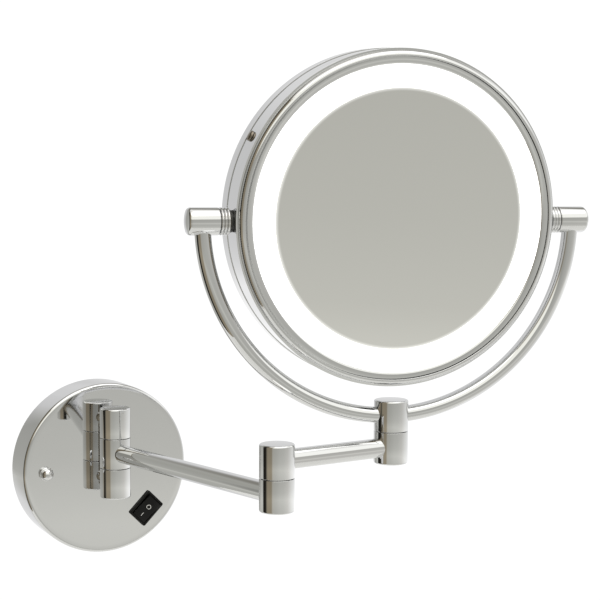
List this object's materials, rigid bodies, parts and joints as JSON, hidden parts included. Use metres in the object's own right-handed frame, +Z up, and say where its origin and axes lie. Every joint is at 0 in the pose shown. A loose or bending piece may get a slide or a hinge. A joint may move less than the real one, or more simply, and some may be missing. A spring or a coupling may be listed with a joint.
{
  "type": "wall-mounted extendable lit shaving mirror",
  "caption": "Round two-sided shaving mirror with a lit ring, held in a U-shaped yoke on a double swivel arm from a round wall cover with a rocker switch.",
  "frame": {"origin": "centre of the wall bracket's back face, on the wall", "axes": "+Z up, +Y into the wall, -Y into the room, +X to the right as seen from the room"},
  "size_m": [0.333, 0.2504, 0.3641],
  "materials": {
    "chrome": "polished chrome plate",
    "zinc_plate": "bright zinc plate, satin",
    "steel": "turned steel, satin",
    "brass": "plain brass",
    "mirror": "silvered glass",
    "opal": "opal diffuser, lit from behind",
    "white_plastic": "moulded, fine matt",
    "black_plastic": "moulded, semi gloss",
    "rocker_black": "moulded, semi gloss, white on and off marks",
    "grey_plastic": "moulded",
    "nylon": "natural nylon",
    "board": "white circuit board",
    "black_lead": "insulated lead",
    "brown_lead": "insulated lead"
  },
  "bodies": {
    "wall_unit": {"wall_bracket": "zinc_plate", "wall_cover": "chrome", "cover_stud_left": "steel", "cover_stud_right": "steel", "cap_nut_left": "chrome", "cap_nut_right": "chrome", "wall_knuckle_upper": "chrome", "wall_knuckle_lower": "chrome", "wall_hinge_pin": "steel", "wall_washer_upper": "nylon", "wall_washer_lower": "nylon", "switch_housing": "black_plastic", "switch_blade_line": "brass", "switch_blade_load": "brass", "led_driver": "white_plastic", "terminal_block": "grey_plastic", "lead_to_switch": "brown_lead", "lead_to_driver": "brown_lead", "lead_to_arm": "black_lead"},
    "rocker": {"switch_rocker": "rocker_black"},
    "inner_arm": {"wall_swivel_barrel": "chrome", "inner_arm_tube": "chrome", "elbow_barrel_lower": "chrome", "elbow_pin": "steel", "elbow_washer": "nylon", "inner_arm_lead": "black_lead"},
    "outer_arm": {"elbow_barrel_upper": "chrome", "outer_arm_tube": "chrome", "yoke_barrel_lower": "chrome", "yoke_pin": "steel", "yoke_washer": "nylon", "outer_arm_lead": "black_lead"},
    "yoke": {"yoke_barrel_upper": "chrome", "yoke_arm_left": "chrome", "yoke_arm_right": "chrome", "pivot_cap_left": "chrome", "pivot_cap_right": "chrome", "pivot_collar_left": "chrome", "pivot_collar_right": "chrome", "yoke_lead": "black_lead"},
    "mirror_head": {"casing_drum": "chrome", "front_bezel": "chrome", "rear_bezel": "chrome", "pivot_shaft_left": "steel", "pivot_shaft_right": "steel", "light_pan": "white_plastic", "led_board": "board", "light_diffuser": "opal", "front_mirror": "mirror", "rear_mirror": "mirror", "rear_pan": "white_plastic", "rear_bezel_screw_1": "steel", "rear_bezel_screw_2": "steel", "rear_bezel_screw_3": "steel", "head_lead": "black_lead"}
  },
  "joints": [
    {"name": "wall_swivel", "type": "hinge", "parent": "wall_unit", "child": "inner_arm", "pos_m": [0, -0.046, 0.015], "axis": [0, 0, 1], "range_deg": [-101, 75]},
    {"name": "elbow_swivel", "type": "hinge", "parent": "inner_arm", "child": "outer_arm", "pos_m": [0.04094, -0.22334, 0.026], "axis": [0, 0, 1], "range_deg": [-247, 82]},
    {"name": "yoke_swivel", "type": "hinge", "parent": "outer_arm", "child": "yoke", "pos_m": [0.13053, -0.21471, 0.048], "axis": [0, 0, 1], "range_deg": [-149, 181]},
    {"name": "mirror_tilt", "type": "hinge", "parent": "yoke", "child": "mirror_head", "pos_m": [0.13053, -0.21471, 0.1877], "axis": [0.9839, -0.1788, 0], "range_deg": [-180, 180]},
    {"name": "switch_rock", "type": "hinge", "parent": "wall_unit", "child": "rocker", "pos_m": [0.031, -0.0283, -0.033], "axis": [-0.7071, 0, 0.7071], "range_deg": [0, 16]}
  ]
}
